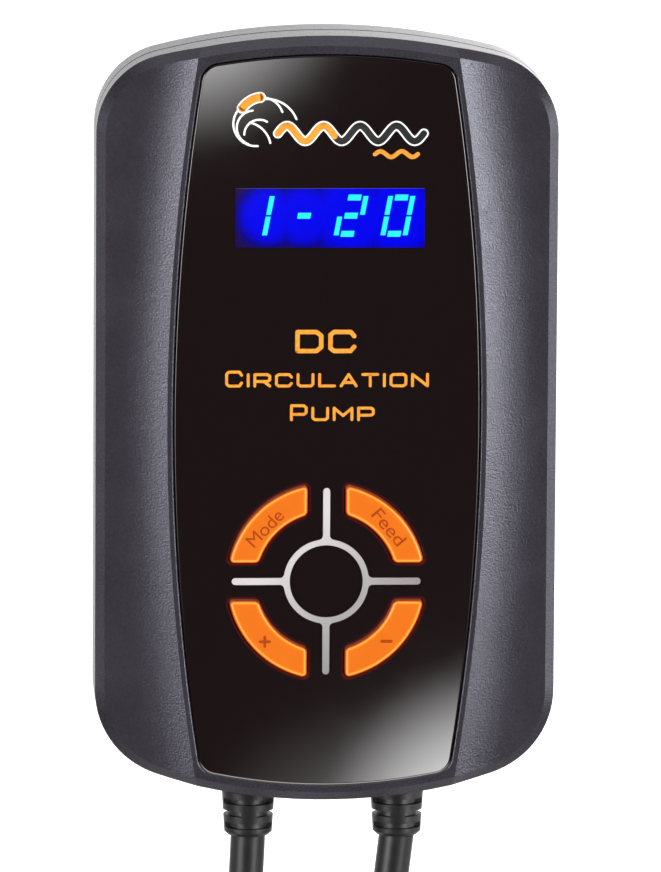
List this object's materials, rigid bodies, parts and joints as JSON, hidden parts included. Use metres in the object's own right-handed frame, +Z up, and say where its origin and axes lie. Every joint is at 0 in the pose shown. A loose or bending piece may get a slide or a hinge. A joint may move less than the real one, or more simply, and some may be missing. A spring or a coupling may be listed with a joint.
{
  "type": "aquarium pump controller",
  "caption": "Wall-hung controller for a DC aquarium pump: charcoal case, black panel with blue digits, orange keys, and leads from its bottom edge.",
  "frame": {"origin": "on the rear face, midway between the round entries of the two keyholes", "axes": "+Z up the case, +X to the right seen from the front, +Y out of the rear face into the wall"},
  "size_m": [0.08, 0.0268, 0.3635],
  "materials": {
    "case_front": "charcoal moulded ABS with a fine spark-eroded texture",
    "case_rear": "charcoal moulded ABS with a fine spark-eroded texture",
    "seal_rubber": "soft black rubber",
    "panel_glass": "polished panel, printed black on its back",
    "adhesive_tape": "black foam tape",
    "window_lens": "polished blue lens, lit from behind",
    "display_body": "grey reflector body",
    "silver_trim": "satin silver trim",
    "key_plastic": "satin translucent orange, lit from behind",
    "switch_plastic": "black nylon",
    "light_lens": "clear amber epoxy",
    "circuit_board": "green solder resist over glass fibre",
    "header_plastic": "black nylon",
    "chip_epoxy": "black moulded epoxy",
    "capacitor_sleeve": "shrunk dark blue sleeve",
    "ferrite": "grey pressed ferrite",
    "terminal_nylon": "natural nylon",
    "wire_insulation": "red silicone insulation",
    "screw_steel": "zinc-plated steel",
    "relief_rubber": "black moulded PVC",
    "lead_jacket": "black PVC jacket",
    "connector_plastic": "black moulded PVC",
    "connector_nut": "black nylon",
    "contact_brass": "gold-plated brass",
    "contact_nickel": "nickel-plated brass"
  },
  "bodies": {
    "root": {"front_cover": "case_front", "rear_cover": "case_rear", "front_panel": "panel_glass", "display_window": "window_lens", "key_ring": "silver_trim", "cover_screws": "screw_steel", "pump_strain_relief": "relief_rubber", "supply_strain_relief": "relief_rubber", "pump_lead": "lead_jacket", "supply_lead": "lead_jacket", "pump_connector": "connector_plastic", "pump_pins": "contact_brass", "supply_connector": "connector_plastic", "supply_contacts": "contact_nickel", "cover_seal": "seal_rubber", "panel_adhesive": "adhesive_tape", "display_module": "display_body", "key_switches": "switch_plastic", "key_lights": "light_lens", "keypad_mat": "seal_rubber", "display_board": "circuit_board", "power_board": "circuit_board", "board_header": "header_plastic", "microcontroller": "chip_epoxy", "power_transistors": "chip_epoxy", "smoothing_capacitors": "capacitor_sleeve", "power_inductor": "ferrite", "lead_terminals": "terminal_nylon", "pump_wires": "wire_insulation", "supply_wires": "wire_insulation", "display_board_screws": "screw_steel", "power_board_screws": "screw_steel"},
    "mode_button": {"mode_key": "key_plastic", "mode_switch_tip": "switch_plastic"},
    "feed_button": {"feed_key": "key_plastic", "feed_switch_tip": "switch_plastic"},
    "plus_button": {"plus_key": "key_plastic", "plus_switch_tip": "switch_plastic"},
    "minus_button": {"minus_key": "key_plastic", "minus_switch_tip": "switch_plastic"},
    "coupling": {"pump_coupling_nut": "connector_nut"}
  },
  "joints": [
    {"name": "mode_press", "type": "slide", "parent": "root", "child": "mode_button", "axis": [0, 1, 0], "range_m": [0, 0.0005], "stiffness_N_per_m": 2500, "springref_m": -0.0001},
    {"name": "feed_press", "type": "slide", "parent": "root", "child": "feed_button", "axis": [0, 1, 0], "range_m": [0, 0.0005], "stiffness_N_per_m": 2500, "springref_m": -0.0001},
    {"name": "plus_press", "type": "slide", "parent": "root", "child": "plus_button", "axis": [0, 1, 0], "range_m": [0, 0.0005], "stiffness_N_per_m": 2500, "springref_m": -0.0001},
    {"name": "minus_press", "type": "slide", "parent": "root", "child": "minus_button", "axis": [0, 1, 0], "range_m": [0, 0.0005], "stiffness_N_per_m": 2500, "springref_m": -0.0001},
    {"name": "coupling_turn", "type": "hinge", "parent": "root", "child": "coupling", "pos_m": [-0.0156, -0.012, -0.32], "axis": [0, 0, 1], "continuous": true}
  ]
}
